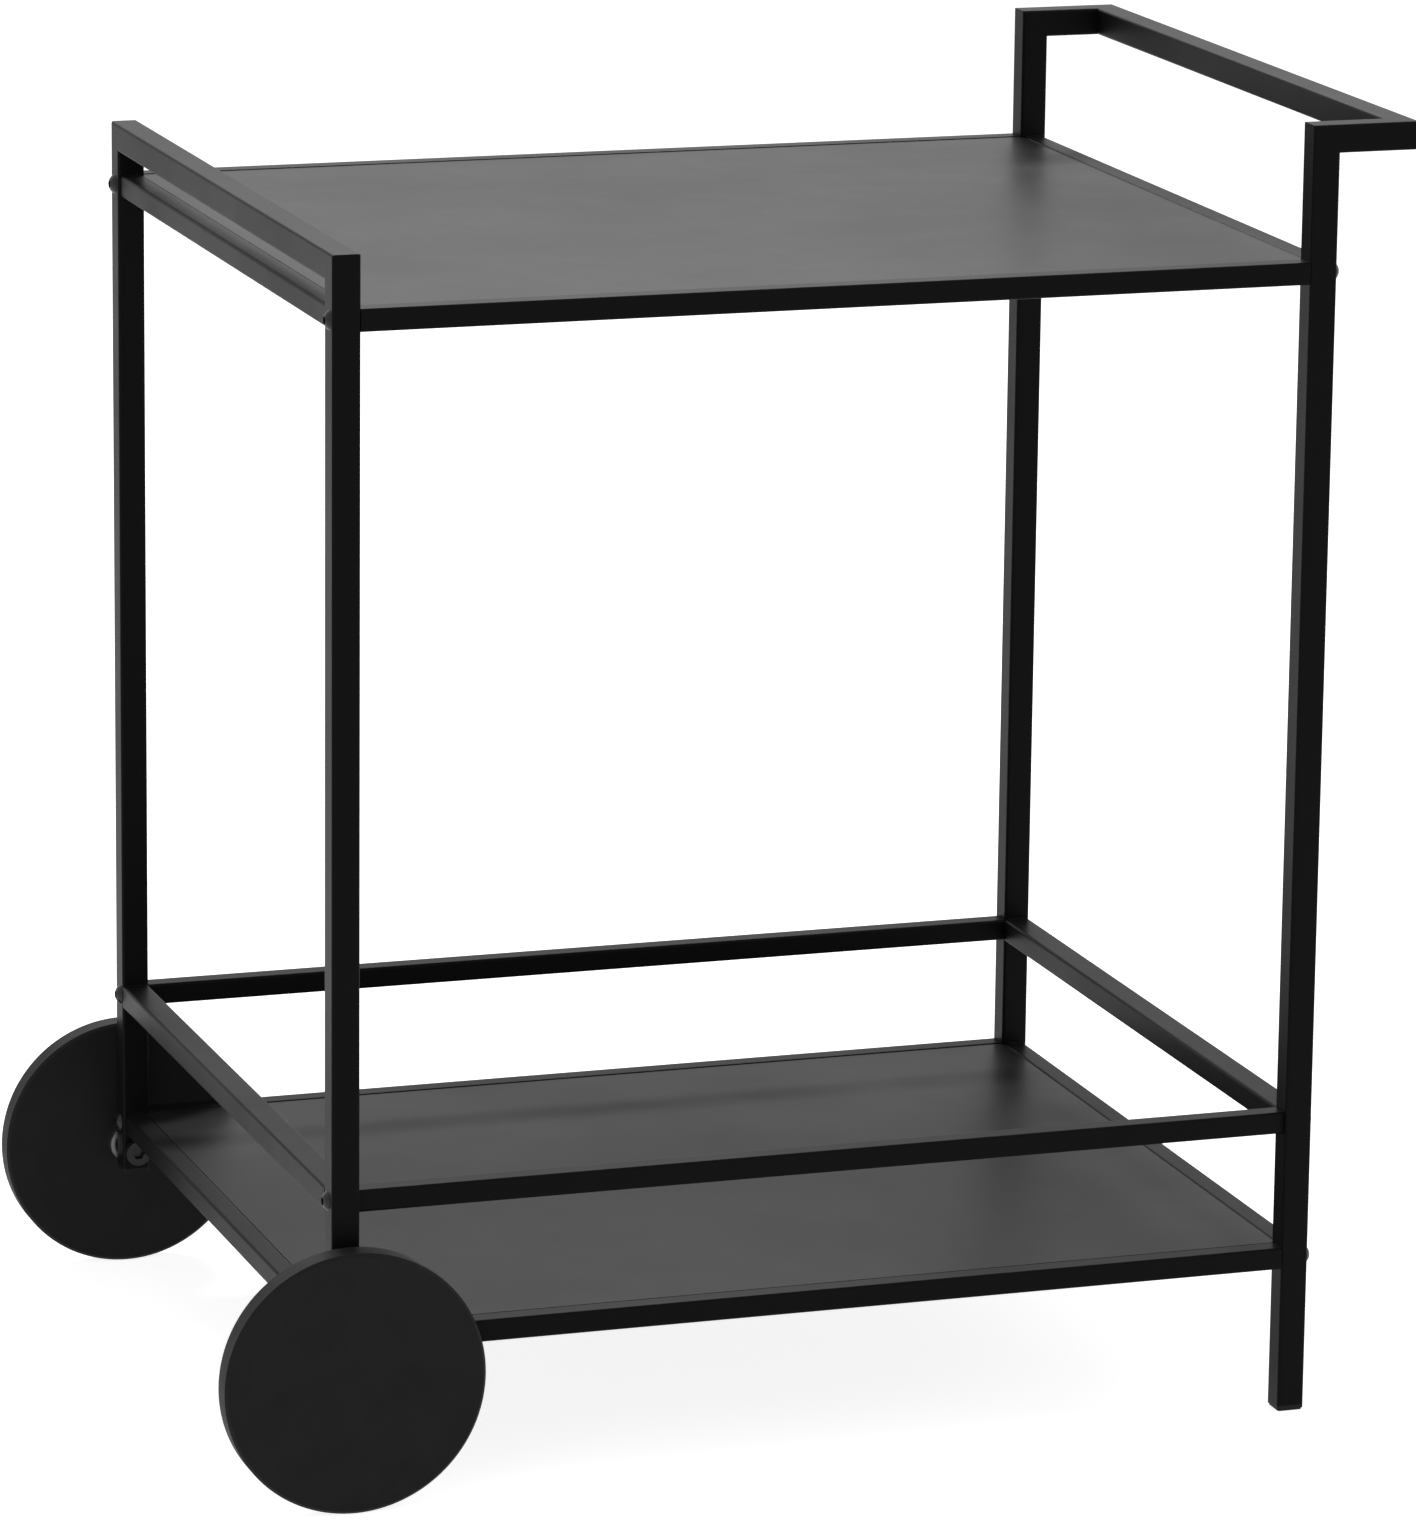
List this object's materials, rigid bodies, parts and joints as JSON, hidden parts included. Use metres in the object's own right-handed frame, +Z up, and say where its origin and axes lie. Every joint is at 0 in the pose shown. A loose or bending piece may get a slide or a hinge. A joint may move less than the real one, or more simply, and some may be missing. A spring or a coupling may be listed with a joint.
{
  "type": "wire shelf cart",
  "caption": "Black steel tube trolley with flat shelves, a rail ring round the lower shelf, a fixed push handle and disc wheels at one end.",
  "frame": {"origin": "on the floor, at the middle of the overall length and depth", "axes": "+X along the length towards the handle, +Y towards the back, +Z up"},
  "size_m": [0.6524, 0.48, 0.7],
  "materials": {
    "frame_coat": "satin",
    "shelf_coat": "satin",
    "black_fastener": "satin",
    "plated_steel": "plated",
    "washer_steel": "plated",
    "black_plastic": "matte",
    "nylon": "matte",
    "wheel_rubber": "matte"
  },
  "bodies": {
    "frame": {"post_near": "frame_coat", "post_far": "frame_coat", "leg_near": "frame_coat", "leg_far": "frame_coat", "top_bar": "frame_coat", "handle_arm_near": "frame_coat", "handle_arm_far": "frame_coat", "handle_bar": "frame_coat", "shelf_sheet": "shelf_coat", "shelf_tube_front": "frame_coat", "shelf_tube_back": "frame_coat", "shelf_end_wheel": "frame_coat", "shelf_end_handle": "frame_coat", "low_sheet": "shelf_coat", "low_tube_front": "frame_coat", "low_tube_back": "frame_coat", "low_end_wheel": "frame_coat", "low_end_handle": "frame_coat", "ring_front": "frame_coat", "ring_back": "frame_coat", "ring_end_wheel": "frame_coat", "ring_end_handle": "frame_coat", "screws_wheel_end": "black_fastener", "screws_handle_end": "black_fastener", "inserts_wheel_end": "plated_steel", "inserts_handle_end": "plated_steel", "post_plugs": "black_plastic", "leg_glides": "black_plastic", "axle_bushes": "nylon"},
    "near_wheel": {"near_wheel_disc": "wheel_rubber", "near_wheel_hub": "plated_steel", "near_axle_bolt": "black_fastener", "near_spacer": "washer_steel"},
    "far_wheel": {"far_wheel_disc": "wheel_rubber", "far_wheel_hub": "plated_steel", "far_axle_bolt": "black_fastener", "far_spacer": "washer_steel"}
  },
  "joints": [
    {"name": "near_wheel_spin", "type": "hinge", "parent": "frame", "child": "near_wheel", "pos_m": [-0.25625, -0.22, 0.07], "axis": [0, 1, 0], "continuous": true},
    {"name": "far_wheel_spin", "type": "hinge", "parent": "frame", "child": "far_wheel", "pos_m": [-0.25625, 0.22, 0.07], "axis": [0, 1, 0], "continuous": true}
  ]
}
